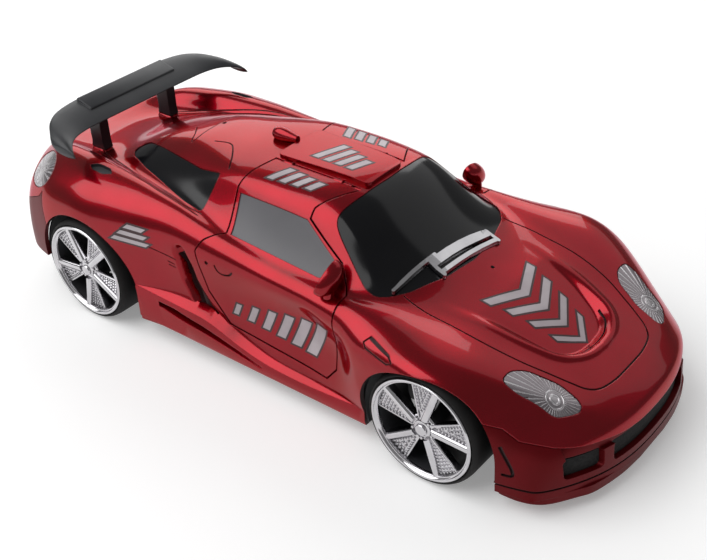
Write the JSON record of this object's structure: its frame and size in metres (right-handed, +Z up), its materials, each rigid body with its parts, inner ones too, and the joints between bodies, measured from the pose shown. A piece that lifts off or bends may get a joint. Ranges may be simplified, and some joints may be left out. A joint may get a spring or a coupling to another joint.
{
  "type": "rc stunt car",
  "caption": "Radio-controlled toy coupe with gullwing doors, rear wing, chrome wheels, geared rear drive and steered front wheels.",
  "frame": {"origin": "on the ground midway between the two axles, on the centreline", "axes": "+X to the nose, +Y to the car's left, +Z up"},
  "size_m": [0.2864, 0.122, 0.0833],
  "materials": {
    "body_red": "metallic gloss",
    "bumper_red": "satin",
    "black_plastic": "matte",
    "black_glass": "gloss",
    "grey_glass": "gloss",
    "chrome": "polished",
    "tyre": "matte",
    "steel": "brushed",
    "brass": "polished",
    "nylon": "matte",
    "board_green": "satin",
    "cell_wrap": "gloss"
  },
  "bodies": {
    "car": {"body_shell": "body_red", "front_bumper": "bumper_red", "grille": "black_plastic", "rear_bumper": "bumper_red", "roof_panel": "body_red", "roof_knob": "body_red", "windscreen": "black_glass", "wiper": "chrome", "quarter_glass_left": "black_glass", "quarter_glass_right": "black_glass", "headlight_left": "chrome", "headlight_right": "chrome", "tail_light_left": "chrome", "tail_light_right": "chrome", "wing_blade": "black_plastic", "wing_post_left": "black_plastic", "wing_post_right": "black_plastic", "hinge_pin_left": "body_red", "hinge_pin_right": "body_red", "chassis": "black_plastic", "battery_door": "black_plastic", "battery_cells": "cell_wrap", "circuit_board": "board_green", "switch_body": "steel", "cockpit_tub": "black_plastic", "seats": "black_plastic", "dashboard": "black_plastic", "steering_wheel": "black_plastic", "motor": "steel", "idler_shaft": "steel", "axle_bushes": "brass", "gearbox": "black_plastic", "gearbox_cover": "black_plastic", "steering_servo": "black_plastic", "screws": "steel"},
    "door_left": {"door_left": "body_red", "door_glass_left": "grey_glass", "mirror_left": "body_red", "hinge_knuckles_left": "body_red"},
    "door_right": {"door_right": "body_red", "door_glass_right": "grey_glass", "mirror_right": "body_red", "hinge_knuckles_right": "body_red"},
    "rear_axle": {"rear_axle": "steel", "axle_gear": "nylon", "rim_rear_left": "chrome", "rim_rear_right": "chrome", "tyre_rear_left": "tyre", "tyre_rear_right": "tyre"},
    "idler": {"idler_gear": "nylon"},
    "pinion": {"motor_pinion": "brass"},
    "knuckle_left": {"knuckle_left": "black_plastic"},
    "knuckle_right": {"knuckle_right": "black_plastic"},
    "wheel_front_left": {"rim_front_left": "chrome", "tyre_front_left": "tyre"},
    "wheel_front_right": {"rim_front_right": "chrome", "tyre_front_right": "tyre"},
    "tie_rod": {"tie_rod": "black_plastic"},
    "servo_arm": {"servo_arm": "nylon"},
    "switch_slider": {"switch_slider": "nylon"}
  },
  "joints": [
    {"name": "door_left_swing", "type": "hinge", "parent": "car", "child": "door_left", "pos_m": [0.005, 0.013, 0.0756], "axis": [1, 0, 0], "range_deg": [0, 70]},
    {"name": "door_right_swing", "type": "hinge", "parent": "car", "child": "door_right", "pos_m": [0.005, -0.013, 0.0756], "axis": [-1, 0, 0], "range_deg": [0, 70]},
    {"name": "rear_axle_spin", "type": "hinge", "parent": "car", "child": "rear_axle", "pos_m": [-0.085, 0, 0.0225], "axis": [0, 1, 0], "continuous": true},
    {"name": "idler_spin", "type": "hinge", "parent": "car", "child": "idler", "pos_m": [-0.07125, 0.0098, 0.02697], "axis": [0, 1, 0], "continuous": true},
    {"name": "pinion_spin", "type": "hinge", "parent": "car", "child": "pinion", "pos_m": [-0.05766, 0.0126, 0.02202], "axis": [0, 1, 0], "continuous": true},
    {"name": "steer_left", "type": "hinge", "parent": "car", "child": "knuckle_left", "pos_m": [0.085, 0.038, 0.0225], "axis": [0, 0, 1], "range_deg": [-10, 10]},
    {"name": "steer_right", "type": "hinge", "parent": "car", "child": "knuckle_right", "pos_m": [0.085, -0.038, 0.0225], "axis": [0, 0, 1], "range_deg": [-10, 10]},
    {"name": "servo_arm_turn", "type": "hinge", "parent": "car", "child": "servo_arm", "pos_m": [0.085, 0, 0.017], "axis": [0, 0, 1], "range_deg": [-10, 10]},
    {"name": "tie_rod_slide", "type": "slide", "parent": "car", "child": "tie_rod", "axis": [0, 1, 0], "range_m": [-0.002, 0.002]},
    {"name": "wheel_front_left_spin", "type": "hinge", "parent": "knuckle_left", "child": "wheel_front_left", "pos_m": [0.085, 0.05, 0.0225], "axis": [0, 1, 0], "continuous": true},
    {"name": "wheel_front_right_spin", "type": "hinge", "parent": "knuckle_right", "child": "wheel_front_right", "pos_m": [0.085, -0.05, 0.0225], "axis": [0, 1, 0], "continuous": true},
    {"name": "switch_slide", "type": "slide", "parent": "car", "child": "switch_slider", "axis": [1, 0, 0], "range_m": [0, 0.004]}
  ],
  "couplings": [
    {"joint": "idler_spin", "follows": "rear_axle_spin", "ratio": -3},
    {"joint": "pinion_spin", "follows": "rear_axle_spin", "ratio": 9},
    {"joint": "steer_right", "follows": "steer_left", "ratio": 1},
    {"joint": "servo_arm_turn", "follows": "steer_left", "ratio": 1},
    {"joint": "tie_rod_slide", "follows": "steer_left", "m_per_rad": -0.011442}
  ]
}
